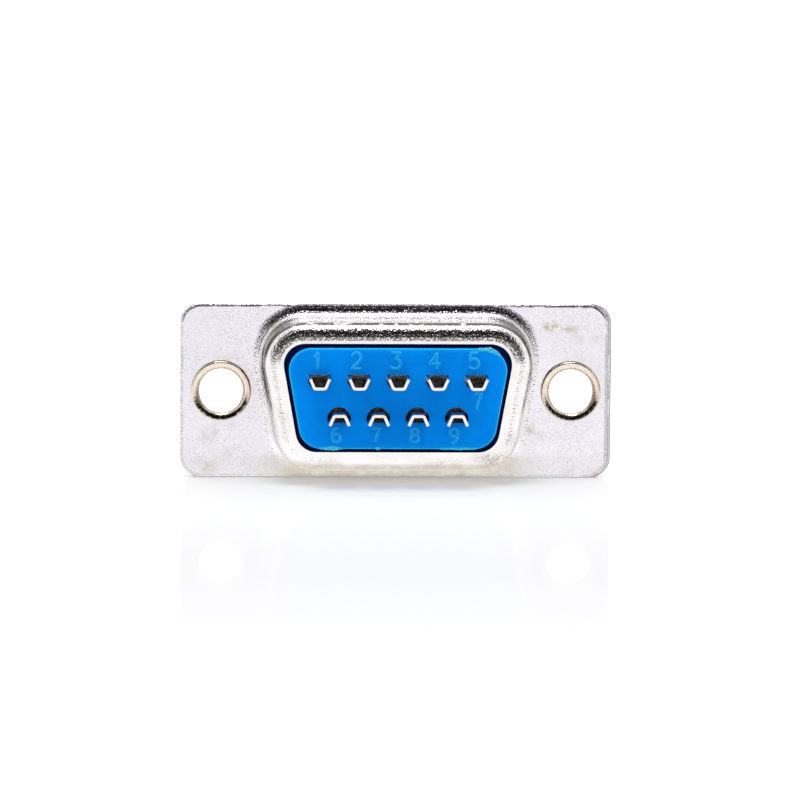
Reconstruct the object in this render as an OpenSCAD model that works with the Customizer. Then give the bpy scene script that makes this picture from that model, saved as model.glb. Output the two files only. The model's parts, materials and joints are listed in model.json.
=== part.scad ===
// Nine-way D-shaped socket connector with solder cups: two drawn steel shells,
// a two-piece insulator, nine stamped contacts and two eyelets.
// +Y is the mating direction, +Z is up with the wide side of the D on top,
// and the origin is midway between the mounting holes on the panel face.

/* [Flange] */

// Width of the mating shell's flange
flange_w = 30.81; // [28:0.01:34]

// Height of both flanges
flange_h = 12.5; // [11:0.05:14]

// Corner radius of the mating shell's flange
flange_r = 1.4; // [0.5:0.1:3]

// Thickness of the steel sheet of both shells
sheet = 0.5; // [0.3:0.05:0.8]

// Distance between the two mounting holes
hole_pitch = 24.99; // [24:0.01:26]

// How much narrower the rear shell's flange is, at its +X end
rear_short = 0.24; // [0:0.02:0.5]

// Corner radius of the rear shell's flange
rear_r = 1.5; // [0.5:0.1:3]

// Edge roll that blanking leaves round the rear face of the rear flange
edge_roll = 0.15; // [0.05:0.01:0.3]

/* [D outline] */

// Slope of the D's two sides from vertical
slope = 10.1141; // [0:0.0001:20]

/* [Mating shell] */

// Distance between the corner centres along a side of the mating D
mate_side = 2.75; // [2:0.05:6]

// Half width between the upper corner centres of the mating D
mate_cx = 5.565; // [4:0.005:8]

// Corner radius outside the mating shell
mate_r = 2.6; // [2:0.05:4]

// How far the mating shell stands out from the panel face
mate_len = 5.9; // [4:0.1:8]

// Bend radius on the concave side of the mating shell's root
mate_bend = 0.5; // [0.2:0.1:1]

// Rounding of the mating shell's lip
lip_round = 0.2; // [0.1:0.05:0.4]

/* [Rear shell] */

// Distance between the corner centres along a side of the rear D
rear_side = 4.8; // [4:0.05:6]

// Half width between the upper corner centres of the rear D
rear_cx = 6.565; // [5:0.005:8]

// Corner radius of the opening in the rear shell
open_r = 1.5; // [1:0.05:2]

// Width of the flat land around the opening
land_w = 0.45; // [0.2:0.05:1]

// Height of the dish above the flange
dish_h = 4; // [3:0.1:6]

// Outside radius between the land and the wall
brow_r = 1; // [0.6:0.1:1.5]

// Concave radius between the wall and the flange
root_r = 0.8; // [0.4:0.1:1.5]

/* [Insulators] */

// Gap between the boss and the opening
boss_gap = 0.28; // [0.1:0.02:0.6]

// Distance between the corner centres along a side of the boss
boss_side = 4.03; // [3:0.01:4.8]

// How far the boss stands out of the land
boss_proud = 0.4; // [0:0.05:1]

// Rounding of the boss's edge
boss_round = 0.12; // [0.05:0.01:0.3]

// How far the front face lies inside the mating shell's lip
face_inset = 0.15; // [0:0.05:0.5]

// Gap between an insulator and the shell around it
snug = 0.05; // [0.02:0.01:0.2]

// Depth of the joint between the two insulators behind the panel face
joint_y = 2.4; // [1.5:0.1:3.5]

// Radius of the pin's way in through the front face
entry_r = 0.7; // [0.55:0.01:0.8]

// Width of the funnel around each way in
funnel_w = 0.22; // [0.1:0.01:0.4]

// Depth of the funnel around each way in
funnel_deep = 0.26; // [0.1:0.01:0.4]

/* [Contacts] */

// Distance between neighbouring contacts in a row
pitch = 2.77; // [2.5:0.01:3]

// Distance between the two rows
row_gap = 2.84; // [2.5:0.01:3]

// Inside radius of the socket, for a pin 1 mm across
socket_r = 0.52; // [0.4:0.01:0.6]

// Wall thickness of the socket's tube
strip = 0.26; // [0.15:0.01:0.35]

// How far the socket's mouth lies behind the front face
socket_deep = 0.65; // [0.4:0.05:1]

// Width of the slits between the socket's tines
slit_w = 0.2; // [0.1:0.02:0.3]

// Where the slits begin in front of the panel face
slit_y = 1.6; // [0:0.1:3]

// Radius of the collar that holds the contact between the insulators
collar_r = 0.95; // [0.85:0.01:1.1]

// Length of the collar
collar_len = 0.4; // [0.2:0.05:0.8]

// How far the solder cups stand out of the boss
cup_out = 2.1; // [1:0.1:4]

// Thickness of the strip where it is formed into the cup
cup_strip = 0.2; // [0.15:0.01:0.3]

// Inside radius of the bends between the cup's base and legs
cup_bend = 0.08; // [0.02:0.01:0.15]

// Outside width of the cup's base, to the corners that its sides would make
cup_base = 0.88; // [0.6:0.02:1]

// Outside height of the cup
cup_h = 0.735; // [0.5:0.005:0.9]

// Lean of the cup's legs from vertical
cup_lean = 24; // [0:1:35]

// Height of the leg tips above the contact's axis
cup_tip = 0.18; // [0:0.01:0.25]

// Radius of the cup's hole in the boss
cup_hole_r = 0.83; // [0.8:0.01:0.9]

// Height of the cup hole's flat above the contact's axis
cup_hole_flat = 0.28; // [0.2:0.01:0.5]

/* [Eyelets] */

// Radius of the screw bore
bore_r = 1.55; // [1.4:0.01:1.7]

// Wall thickness of the eyelet's tube
eyelet_wall = 0.27; // [0.2:0.01:0.35]

// Radius of the flare from the bore out to the crest of the lip
flare_r = 0.48; // [0.3:0.02:0.6]

// Rounding outside the crest of the lip
lip_edge = 0.12; // [0.05:0.01:0.2]

// Height of the lip above the rear flange
lip_rise = 0.3; // [0.15:0.01:0.4]

// Width of the flat ring on the panel side
ring_w = 0.64; // [0.4:0.02:0.9]

/* [Hidden] */

$fn = 72;

wall_r = open_r + land_w + brow_r;
land_y = -2 * sheet - dish_h;
boss_y = land_y - boss_proud;
boss_sunk = (rear_side - boss_side) * cos(slope) / 2;
boss_cx = rear_cx - boss_sunk * (1 + sin(slope)) / cos(slope);
boss_r = open_r - boss_gap + boss_sunk;
cup_end_y = boss_y - cup_out;
face_y = mate_len - face_inset;
socket_front = face_y - socket_deep;
play = 0.05;
cell_r = socket_r + strip + play;
collar_back = -joint_y - collar_len / 2;
collar_front = collar_len / 2 - joint_y;
eyelet_r = bore_r + eyelet_wall;
shell_hole_r = eyelet_r + play;
ring_r = bore_r + ring_w;
ring_y = 0.02;
seat_deep = sheet / 2;
lap = 0.1;

function pin_x(n) = n < 6 ? (n - 3) * pitch : (n - 7.5) * pitch;
function pin_z(n) = n < 6 ? row_gap / 2 : -row_gap / 2;
function half_rise(side) = side * cos(slope) / 2;
function low_cx(cx, side) = cx - side * sin(slope);
function coarse(v) = round(v * 1000) / 1000;
function reach_over(v) = ceil(v * 10) / 10;

// Moves in a coarse and a fine step, which keeps the full precision where neighbours must meet.
module at(x, z) {
    translate([coarse(x), coarse(z), 0])
        translate([x - coarse(x), z - coarse(z), 0])
            children();
}

// Extrudes an outline drawn in X and Z from y0 up to y1.
module slab(y0, y1) {
    translate([0, y1, 0])
        rotate([90, 0, 0])
            linear_extrude(y1 - y0)
                children();
}

// Turns a profile drawn as radius and depth about an axis along -Y.
module turned(x, y, z) {
    translate([x, y, z])
        rotate([90, 0, 0])
            rotate_extrude()
                children();
}

// A plate outline with rounded corners.
module rounded(x0, x1, h, r) {
    for (x = [x0 + r, x1 - r], z = [r - h / 2, h / 2 - r])
        translate([x, z])
            circle(r);
    translate([x0 + r, -h / 2])
        square([x1 - x0 - 2 * r, h]);
    translate([x0, r - h / 2])
        square([x1 - x0, h - 2 * r]);
}

// The D outline at distance r from its four corner centres.
module dee(cx, side, r) {
    cz = half_rise(side);
    low = low_cx(cx, side);
    inset = cx - low + lap;
    translate([-low, -cz - lap])
        square([2 * low, 2 * (cz + lap)]);
    for (m = [0, 1])
        mirror([m, 0, 0]) {
            at(cx, cz) {
                circle(r);
                translate([-reach_over(cx), -lap])
                    square([reach_over(cx), r + lap]);
                rotate(-slope)
                    translate([-inset, -side])
                        square([inset + r, side]);
            }
            at(low, -cz) {
                circle(r);
                translate([-reach_over(low), -r])
                    square([reach_over(low), r + lap]);
            }
        }
}

// A straight run of a profile from the corner at x, z, turned so that it faces a.
module run(x, z, a, length) {
    at(x, z)
        rotate(a)
            rotate([90, 0, 0])
                linear_extrude(length)
                    children();
}

// Carries a profile, drawn as distance and height, once around a rounded plate.
module plate_sweep(x0, x1, h, r) {
    left = x0 + r;
    right = x1 - r;
    top = h / 2 - r;
    corners = [[right, top], [left, top], [left, -top], [right, -top]];
    for (i = [0 : 3]) {
        translate([corners[i].x, corners[i].y, 0])
            rotate_extrude(angle = 90, start = 90 * i)
                children();
        run(corners[i].x, corners[i].y, 90 * i, i % 2 == 0 ? 2 * top : right - left)
            children();
    }
}

// Carries a profile, drawn as distance and height, once around the D.
module dee_sweep(cx, side) {
    cz = half_rise(side);
    low = low_cx(cx, side);
    for (m = [0, 1])
        mirror([m, 0, 0]) {
            at(cx, cz) {
                rotate_extrude(angle = 90)
                    children();
                rotate_extrude(angle = slope, start = -slope)
                    children();
            }
            run(cx, cz, -slope, side)
                children();
            at(low, -cz)
                rotate_extrude(angle = 90 - slope, start = -90)
                    children();
            run(low, -cz, -90, reach_over(low))
                children();
            run(-cx, cz, 90, reach_over(cx))
                children();
        }
}

// A quarter of a ring in the profile plane, between radius a and radius b.
module quarter(x, h, a, b, sx, sh) {
    translate([x, h])
        intersection() {
            difference() {
                circle(b);
                circle(a);
            }
            translate([min(0, sx * b), min(0, sh * b)])
                square(b);
        }
}

module front_profile() {
    bend = mate_bend + sheet;
    reach = mate_r + mate_bend;
    top = sheet + mate_len;
    quarter(reach, bend, mate_bend, bend, -1, -1);
    translate([reach, 0])
        square([lap, sheet]);
    translate([mate_r - sheet, bend])
        square([sheet, top - lip_round - bend]);
    translate([mate_r - sheet, top - lip_round])
        square([sheet - lip_round, lip_round]);
    translate([mate_r - lip_round, top - lip_round])
        intersection() {
            circle(lip_round);
            square(lip_round);
        }
}

module front_shell() {
    color([0.78, 0.77, 0.76]) {
        difference() {
            slab(-sheet, 0)
                rounded(-flange_w / 2, flange_w / 2, flange_h, flange_r);
            slab(-2 * sheet, sheet)
                dee(mate_cx, mate_side, mate_r + mate_bend + lap / 2);
            for (s = [-1, 1]) {
                turned(s * hole_pitch / 2, sheet, 0)
                    square([shell_hole_r, 3 * sheet]);
                turned(s * hole_pitch / 2, sheet, 0)
                    square([ring_r + play, sheet + seat_deep]);
            }
        }
        mirror([0, 1, 0])
            translate([0, sheet, 0])
                rotate([90, 0, 0])
                    dee_sweep(mate_cx, mate_side)
                        front_profile();
    }
}

module rear_profile() {
    flat_r = open_r + land_w;
    top = sheet + dish_h;
    root = sheet + root_r;
    translate([open_r, dish_h])
        square([land_w, sheet]);
    quarter(flat_r, top - brow_r, brow_r - sheet, brow_r, 1, 1);
    translate([wall_r - sheet, root])
        square([sheet, top - brow_r - root]);
    quarter(wall_r + root_r, root, root_r, root_r + sheet, -1, -1);
    translate([wall_r + root_r, 0])
        square([lap, sheet]);
}

// The rear flange's border, with its edge roll.
module roll_profile() {
    translate([rear_r - edge_roll - lap, 0])
        square([lap, sheet]);
    translate([rear_r - edge_roll, 0])
        square([edge_roll, sheet - edge_roll]);
    quarter(rear_r - edge_roll, sheet - edge_roll, 0, edge_roll, 1, 1);
}

module rear_flange() {
    x0 = -flange_w / 2;
    x1 = flange_w / 2 - rear_short;
    slab(-2 * sheet, -sheet)
        rounded(x0 + edge_roll, x1 - edge_roll, flange_h - 2 * edge_roll, rear_r - edge_roll);
    translate([0, -sheet, 0])
        rotate([90, 0, 0])
            plate_sweep(x0, x1, flange_h, rear_r)
                roll_profile();
}

module rear_shell() {
    color([0.8, 0.79, 0.78]) {
        difference() {
            rear_flange();
            slab(-3 * sheet, 0)
                dee(rear_cx, rear_side, wall_r + root_r + lap / 2);
            for (s = [-1, 1])
                turned(s * hole_pitch / 2, 0, 0)
                    square([shell_hole_r, 3 * sheet]);
        }
        translate([0, -sheet, 0])
            rotate([90, 0, 0])
                dee_sweep(rear_cx, rear_side)
                    rear_profile();
    }
}

module cells(y0, y1, r) {
    for (n = [1 : 9])
        turned(pin_x(n), y1, pin_z(n))
            square([r, y1 - y0]);
}

module front_insulator() {
    color([0.02, 0.2, 0.55])
        difference() {
            union() {
                slab(-sheet, face_y)
                    dee(mate_cx, mate_side, mate_r - sheet - snug);
                slab(-joint_y, -sheet)
                    dee(rear_cx, rear_side, wall_r - sheet - snug);
            }
            cells(-joint_y - 1, socket_front + play, cell_r);
            cells(socket_front - 1, face_y + 1, entry_r);
            cells(-joint_y - 1, collar_front + play, collar_r + play);
            for (n = [1 : 9])
                turned(pin_x(n), face_y, pin_z(n))
                    polygon([[0, 0], [entry_r + funnel_w, 0], [entry_r, funnel_deep], [0, funnel_deep]]);
        }
}

module boss_profile(deep) {
    square([boss_r, deep - boss_round]);
    square([boss_r - boss_round, deep]);
    translate([boss_r - boss_round, deep - boss_round])
        circle(boss_round);
}

// The cup's hole: a circle with a flat on the side that the cup opens to.
module cup_hole(n) {
    up = n < 6 ? 1 : -1;
    translate([pin_x(n), pin_z(n)])
        intersection() {
            circle(cup_hole_r);
            translate([-1, up > 0 ? cup_hole_flat - 2 : -cup_hole_flat])
                square([2, 2]);
        }
}

module rear_insulator() {
    inner = land_y + sheet + snug;
    ledge = land_y + brow_r;
    color([0.02, 0.48, 0.88])
        difference() {
            union() {
                slab(ledge, -joint_y)
                    dee(rear_cx, rear_side, wall_r - sheet - snug);
                slab(inner, -joint_y)
                    dee(rear_cx, rear_side, open_r + land_w);
                slab(boss_y, -joint_y)
                    dee(boss_cx, boss_side, boss_r - 2 * boss_round);
                translate([0, inner, 0])
                    rotate([90, 0, 0])
                        dee_sweep(boss_cx, boss_side)
                            boss_profile(inner - boss_y);
            }
            cells(collar_back, 1 - joint_y, collar_r + play);
            slab(boss_y - 1, 1 - joint_y)
                for (n = [1 : 9])
                    cup_hole(n);
        }
}

// The cup's section: a base and two leaning legs with rounded bends, open upwards.
module cup_section() {
    outer = cup_bend + cup_strip;
    tangent = outer * tan(45 - cup_lean / 2);
    bend_x = cup_base / 2 - tangent;
    low = cup_tip - cup_h;
    leg = cup_h / cos(cup_lean) - tangent;
    translate([-bend_x, low])
        square([2 * bend_x, cup_strip]);
    for (m = [0, 1])
        mirror([m, 0])
            translate([bend_x, low + outer]) {
                intersection() {
                    difference() {
                        circle(outer);
                        circle(cup_bend);
                    }
                    polygon([[0, 0], [0, -1], [1, -1], [cos(cup_lean), -sin(cup_lean)]]);
                }
                rotate(-cup_lean)
                    translate([cup_bend, 0])
                        square([cup_strip, leg]);
            }
}

module contact() {
    color([0.86, 0.8, 0.72]) {
        difference() {
            union() {
                turned(0, socket_front, 0)
                    square([socket_r + strip, socket_front - collar_back]);
                turned(0, collar_front, 0)
                    square([collar_r, collar_len]);
            }
            turned(0, socket_front + 1, 0)
                square([socket_r, socket_front + 1 + joint_y]);
            translate([-slit_w / 2, slit_y, -1])
                cube([slit_w, socket_front, 2]);
        }
        slab(cup_end_y, collar_back + strip / 2)
            cup_section();
    }
}

module placed_contact(n) {
    translate([pin_x(n), 0, pin_z(n)])
        mirror([0, 0, n < 6 ? 0 : 1])
            contact();
}

// A tube with a flat ring on the panel side and a flared lip on the rear flange.
module eyelet(side) {
    crest = 2 * sheet + lip_rise;
    flare_h = crest - flare_r;
    color([0.82, 0.76, 0.68])
        turned(side * hole_pitch / 2, 0, 0) {
            translate([bore_r, ring_y])
                square([ring_w, seat_deep - ring_y]);
            translate([bore_r, seat_deep])
                square([eyelet_wall, flare_h - seat_deep]);
            intersection() {
                translate([bore_r + flare_r, flare_h])
                    circle(flare_r);
                union() {
                    translate([bore_r, flare_h])
                        square([eyelet_wall, flare_r]);
                    translate([eyelet_r, 2 * sheet])
                        square([flare_r - eyelet_wall, lip_rise]);
                }
            }
            translate([bore_r + flare_r, 2 * sheet])
                square([lip_edge, lip_rise - lip_edge]);
            quarter(bore_r + flare_r, crest - lip_edge, 0, lip_edge, 1, 1);
        }
}

front_shell();
rear_shell();
front_insulator();
rear_insulator();
eyelet(-1);  // eyelet_left
eyelet(1);  // eyelet_right
placed_contact(1);  // contact_1
placed_contact(2);  // contact_2
placed_contact(3);  // contact_3
placed_contact(4);  // contact_4
placed_contact(5);  // contact_5
placed_contact(6);  // contact_6
placed_contact(7);  // contact_7
placed_contact(8);  // contact_8
placed_contact(9);  // contact_9
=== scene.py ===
import json
import math

import bpy
from bpy.props import FloatProperty, FloatVectorProperty, IntProperty, PointerProperty
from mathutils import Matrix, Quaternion, Vector

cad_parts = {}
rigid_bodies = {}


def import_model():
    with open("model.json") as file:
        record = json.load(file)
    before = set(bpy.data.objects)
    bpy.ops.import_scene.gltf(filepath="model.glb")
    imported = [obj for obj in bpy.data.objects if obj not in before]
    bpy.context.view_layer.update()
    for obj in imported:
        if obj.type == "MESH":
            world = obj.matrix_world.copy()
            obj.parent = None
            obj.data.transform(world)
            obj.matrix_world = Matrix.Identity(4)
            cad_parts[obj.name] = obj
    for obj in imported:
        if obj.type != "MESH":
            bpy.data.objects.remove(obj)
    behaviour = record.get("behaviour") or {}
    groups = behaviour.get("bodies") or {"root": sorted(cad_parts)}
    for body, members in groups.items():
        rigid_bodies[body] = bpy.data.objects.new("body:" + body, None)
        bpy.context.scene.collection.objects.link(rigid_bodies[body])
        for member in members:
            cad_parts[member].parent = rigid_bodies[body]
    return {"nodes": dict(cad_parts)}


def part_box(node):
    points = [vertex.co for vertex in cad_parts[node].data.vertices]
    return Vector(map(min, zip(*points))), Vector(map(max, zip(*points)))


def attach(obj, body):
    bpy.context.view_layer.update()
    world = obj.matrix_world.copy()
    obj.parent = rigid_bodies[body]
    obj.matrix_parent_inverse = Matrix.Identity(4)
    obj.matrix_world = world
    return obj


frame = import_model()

bl_info = {
    "name": "Nine-way D-sub socket connector",
    "version": (1, 0, 0),
    "blender": (4, 5, 0),
    "location": "View3D > Sidebar > Connector",
    "description": "Finishes and small details of a solder-cup connector on its CAD frame",
    "category": "Object",
}

for left_over in [o for o in bpy.data.objects if o.name in ("Cube", "Light", "Camera")]:
    bpy.data.objects.remove(left_over)

MM = 0.001
WHITE = (1.0, 1.0, 1.0, 1.0)
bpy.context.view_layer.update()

# Sizes and places below are in mm.
FLANGE_FACE_Y = -1.0  # rear face of the rear shell's flange
LAND_Y = -5.0  # land around the opening in the rear shell
BROW_Y = -4.0  # where the dish's wall turns into its brow
BOSS_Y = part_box("rear_insulator")[0].y / MM  # face of the boss
MATE_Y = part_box("front_insulator")[1].y / MM  # mating face
CUP_END_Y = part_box("contact_1")[0].y / MM  # ends of the solder cups
FLOOR_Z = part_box("rear_shell")[0].z / MM
PITCH = 2.77  # between the contacts of a row
ROW_GAP = 2.84  # between the two rows
HOLE_X = 12.495  # how far the mounting holes lie from the middle
SLOPE = math.radians(10.1141)  # lean of the D's sides

# A D outline is a width of edge round a polygon: cx is the place of its upper corner
# centres and side is the length of its leaning sides.
REAR_D = {"cx": 6.565, "side": 4.8}
FRONT_D = {"cx": 5.565, "side": 2.75}
FRONT_R = 2.05
OPEN_R = 1.5  # opening of the rear dish
LAND_R = 1.95  # where the dish's land turns into its brow
WALL_R = 2.95  # the dish's wall
ROOT_R = 3.75  # where the dish's root meets the flange
BOSS_SIDE = 4.03
BOSS_GAP = 0.28  # between the boss and the opening
SUNK = (REAR_D["side"] - BOSS_SIDE) * math.cos(SLOPE) / 2
BOSS_D = {"cx": REAR_D["cx"] - SUNK * (1 + math.sin(SLOPE)) / math.cos(SLOPE), "side": BOSS_SIDE}
BOSS_R = OPEN_R - BOSS_GAP + SUNK

PLATE_Z = 6.25  # half height of both flanges
REAR_PLATE = {"left": -15.405, "right": 15.165, "corner": 1.5}
FRONT_PLATE = {"left": -15.405, "right": 15.405, "corner": 1.4}


# ---------------------------------------------------------------- shader maths


class Number:
    """A shader value that takes Python arithmetic; each operation adds a Math node."""

    def __init__(self, paint, socket):
        self.paint = paint
        self.socket = socket

    def _math(self, operation, *values, clamp=False):
        inputs = dict(enumerate(values))
        return self.paint.add("ShaderNodeMath", {"operation": operation, "use_clamp": clamp}, inputs)

    def __add__(self, other):
        return self._math("ADD", self, other)

    __radd__ = __add__

    def __sub__(self, other):
        return self._math("SUBTRACT", self, other)

    def __rsub__(self, other):
        return self._math("SUBTRACT", other, self)

    def __mul__(self, other):
        return self._math("MULTIPLY", self, other)

    __rmul__ = __mul__

    def __truediv__(self, other):
        return self._math("DIVIDE", self, other)

    def __rtruediv__(self, other):
        return self._math("DIVIDE", other, self)

    def __neg__(self):
        return self._math("MULTIPLY", self, -1.0)

    def __abs__(self):
        return self._math("ABSOLUTE", self)

    def __lt__(self, other):
        return self._math("LESS_THAN", self, other)

    def least(self, other):
        return self._math("MINIMUM", self, other)

    def most(self, other):
        return self._math("MAXIMUM", self, other)

    def root(self):
        return self._math("SQRT", self)

    def sign(self):
        return self._math("SIGN", self)

    def wrapped(self, length):
        """What is left after whole lengths are taken away."""
        return self._math("FLOORED_MODULO", self, length)

    def held(self):
        """Between 0 and 1."""
        return self._math("ADD", self, 0.0, clamp=True)

    def rise(self, low, high):
        """A smooth step from 0 at low to 1 at high."""
        settings = {"interpolation_type": "SMOOTHSTEP", "clamp": True}
        return self.paint.add("ShaderNodeMapRange", settings, {0: self, 1: low, 2: high, 3: 0.0, 4: 1.0})

    def near(self, place, reach):
        """1 at place, falling smoothly to 0 at reach on either side."""
        return 1.0 - abs(self - place).rise(0.0, reach)


class Paint:
    """Builds one material's or world's node tree."""

    def __init__(self, tree):
        self.tree = tree
        tree.nodes.clear()

    def add(self, kind, settings=None, inputs=None, out=0):
        """Adds a node, sets it up, then sets or links its inputs; returns one of its outputs."""
        node = self.tree.nodes.new(kind)
        for name, value in (settings or {}).items():
            setattr(node, name, value)
        for key, value in (inputs or {}).items():
            if isinstance(value, Number):
                self.tree.links.new(value.socket, node.inputs[key])
            else:
                node.inputs[key].default_value = value
        outputs = node.outputs
        return Number(self, outputs[out]) if len(outputs) else None

    def place(self):
        """The point on the piece in millimetres, and its three coordinates."""
        point = self.add("ShaderNodeTexCoord", out="Object")
        scaled = self.stretched(point, (1 / MM,) * 3)
        parts = self.add("ShaderNodeSeparateXYZ", None, {0: scaled})
        outputs = parts.socket.node.outputs
        return scaled, *(Number(self, outputs[axis]) for axis in range(3))

    def facing(self):
        """The three parts of the true surface normal."""
        normal = self.add("ShaderNodeNewGeometry", out="True Normal")
        outputs = self.add("ShaderNodeSeparateXYZ", None, {0: normal}).socket.node.outputs
        return [Number(self, outputs[axis]) for axis in range(3)]

    def stretched(self, point, scale):
        """The same point with each axis scaled."""
        return self.add("ShaderNodeMapping", {"vector_type": "POINT"}, {"Vector": point, "Scale": scale})

    def noise(self, point, scale, detail=2.0, rough=0.5, bend=0.0):
        inputs = {"Vector": point, "Scale": scale, "Detail": detail, "Roughness": rough, "Distortion": bend}
        return self.add("ShaderNodeTexNoise", {"noise_dimensions": "3D"}, inputs)

    def mix(self, share, first, second, how="MIX"):
        """A colour mix."""
        settings = {"data_type": "RGBA", "blend_type": how, "clamp_factor": True}
        first, second = (c if isinstance(c, Number) else (*c[:3], 1.0) for c in (first, second))
        return self.add("ShaderNodeMix", settings, {0: share, 6: first, 7: second}, out=2)

    def bump(self, height, depth, strength=1.0, below=None):
        """Turns a height between 0 and 1 into relief of that depth in mm."""
        inputs = {"Height": height, "Distance": depth * MM, "Strength": strength}
        if below is not None:
            inputs["Normal"] = below
        return self.add("ShaderNodeBump", None, inputs)

    def surface(self, **inputs):
        """A Principled surface as the output."""
        names = {key: key.replace("_", " ").title() for key in inputs}
        names.update(ior="IOR", specular_ior_level="Specular IOR Level")
        shader = self.add("ShaderNodeBsdfPrincipled", None, {names[k]: v for k, v in inputs.items()})
        self.add("ShaderNodeOutputMaterial", None, {"Surface": shader})


def dee_distance(x, z, cx, side):
    """Signed distance, in mm, to the polygon through a D outline's corner centres."""
    lean, up = math.sin(SLOPE), math.cos(SLOPE)
    cz = side * up / 2
    low = cx - side * lean
    x = abs(x)
    across = (x - cx) * up - (z - cz) * lean
    along = ((x - cx) * -lean - (z - cz) * up).most(0.0).least(side)
    side_x = x - cx + along * lean
    side_z = z - cz + along * up
    to_side = side_x * side_x + side_z * side_z
    over_top = (x - cx).most(0.0)
    over_low = (x - low).most(0.0)
    to_top = over_top * over_top + (z - cz) * (z - cz)
    to_low = over_low * over_low + (z + cz) * (z + cz)
    away = to_side.least(to_top).least(to_low).root()
    inner = across.most(z - cz).most(-z - cz)
    inside = inner < 0.0
    return inside * inner + (1.0 - inside) * away


def new_material(name):
    material = bpy.data.materials.new(name)
    material.use_nodes = True
    return material, Paint(material.node_tree)


def finish(name, *nodes):
    """Puts a new material on these CAD nodes and returns its Paint."""
    material, paint = new_material(name)
    for node in nodes:
        mesh = frame["nodes"][node].data
        mesh.materials.clear()
        mesh.materials.append(material)
    return paint


# ---------------------------------------------------------------- sizes and colours


def colour(name, description, default):
    return FloatVectorProperty(
        name=name, description=description, default=default, subtype="COLOR", size=3, min=0.0, max=1.0
    )


def share(name, description, default):
    """A setting between 0 and 1."""
    return FloatProperty(name=name, description=description, default=default, min=0.0, max=1.0)


def level(name, description, default):
    """A brightness of 0 or more."""
    return FloatProperty(name=name, description=description, default=default, min=0.0)


def length(name, description, millimetres):
    return FloatProperty(name=name, description=description, default=millimetres * MM, unit="LENGTH")


def angle(name, description, degrees):
    return FloatProperty(name=name, description=description, default=math.radians(degrees), subtype="ANGLE")


class ShellFinish(bpy.types.PropertyGroup):
    plate: colour("Plating", "Colour of the tin plating", (0.775, 0.76, 0.81))
    # Bright colour: a painted highlight on the land round the opening and on the lower part of the dish.
    bright: colour("Bright", "Colour of the plating where it was rubbed bright", (0.84, 0.82, 0.83))
    # Dulled colour: random smears on the dish, and partly painted shade on its walls and two sides.
    dull_and_shade: colour("Dull", "Colour of the dull smears on the dish", (0.69, 0.67, 0.61))
    warm: colour("Warm", "Colour of the lower rim", (0.52, 0.475, 0.40))
    stain: colour("Stain", "Colour of the handling stains", (0.47, 0.40, 0.27))
    rust: colour("Rust", "Colour of the tint round the eyelets", (0.62, 0.42, 0.30))
    # Colour of the grime and specks, and of the painted shade along the flange edges, round the brow and at
    # the dish's sides.
    dirt_and_shade: colour("Dirt", "Colour of the dirt in the corners", (0.035, 0.028, 0.022))
    rough: share("Roughness", "Roughness of the flat faces", 0.2)
    grain: share("Grain", "Depth of the grain on the bends, in mm", 0.05)
    # A painted shade: darkens the mating shell's plating, so that from above it does not mirror the lamp
    # nearly white.
    mating_painted_shade: share("Mating shade", "How bright the mating shell's plating is", 0.86)
    speckle: share("Speckle", "Strength of the grey speckle", 0.8)


class InsulatorFinish(bpy.types.PropertyGroup):
    face: colour("Face", "Colour of the rear insulator", (0.0003, 0.27, 0.94))
    # Edge colour: a painted highlight along the rounded edge of each insulator's face, with a soft painted
    # glow just inside it.
    edge: colour("Edge", "Colour of the thin moulded edge", (0.012, 0.58, 1.0))
    # Painted shade down in the gap round the boss and in the holes.
    painted_recess_shade: colour("Deep", "Colour down in the gap and the holes", (0.0008, 0.013, 0.10))
    front: colour("Front", "Colour of the front insulator", (0.0006, 0.15, 0.62))
    rough: share("Roughness", "Roughness of the plastic", 0.38)


class ContactFinish(bpy.types.PropertyGroup):
    tin: colour("Tin", "Colour of the tinned strip", (0.82, 0.80, 0.79))
    copper: colour("Copper", "Tint where the tin is thin", (0.70, 0.50, 0.38))
    # A painted reflection of the blue insulator on the strip down in the hole.
    blue: colour("Blue", "Tint of the strip down in the blue hole", (0.16, 0.36, 0.70))
    shade: colour("Shade", "Colour down inside the channel", (0.035, 0.018, 0.014))
    rough: share("Roughness", "Roughness of the tinning", 0.2)


class EyeletFinish(bpy.types.PropertyGroup):
    ring: colour("Ring", "Colour of the rolled ring", (0.74, 0.655, 0.56))
    # Pink tints the outer part of each ring's right side.
    pink: colour("Pink", "Colour where the plating is thin", (0.66, 0.50, 0.45))
    # Colour of the pits, and of the painted shade along the ring's edges and in a crescent low on it.
    tarnish_and_shade: colour("Tarnish", "Colour of the tarnished edges", (0.16, 0.09, 0.055))
    rough: share("Roughness", "Roughness of the ring", 0.2)


class NumberSizes(bpy.types.PropertyGroup):
    upper_height: length("Upper height", "Height of the numbers 1 to 5", 1.15)
    lower_height: length("Lower height", "Height of the numbers 6 to 9", 1.0)
    stroke: length("Stroke", "Width of the raised strokes", 0.19)
    relief: length("Relief", "Height of the strokes above the face", 0.045)
    sides: IntProperty(name="Sides", description="Sides of a stroke's section", default=12, min=6, max=24)
    # A painted highlight on the strokes' steep sides.
    painted_flank_highlight: colour("Colour", "Colour of the raised strokes' sides", (0.08, 0.66, 1.0))
    top: colour("Top", "Colour of the raised strokes' tops", (0.003, 0.36, 1.0))


class FlashSizes(bpy.types.PropertyGroup):
    bead: length("Bead", "Width of the thin moulded edge", 0.085)
    burr: length("Burr", "Width where flash was torn off", 0.55)
    seed: FloatProperty(name="Seed", description="Which irregular edge is drawn", default=3.0)
    # Light cyan, partly a painted highlight along the boss's edge.
    tint: colour("Colour", "Colour of the thin flash", (0.03, 0.52, 1.0))
    green: colour("Green", "Colour of the flash where it was torn", (0.12, 0.80, 0.88))


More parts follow.
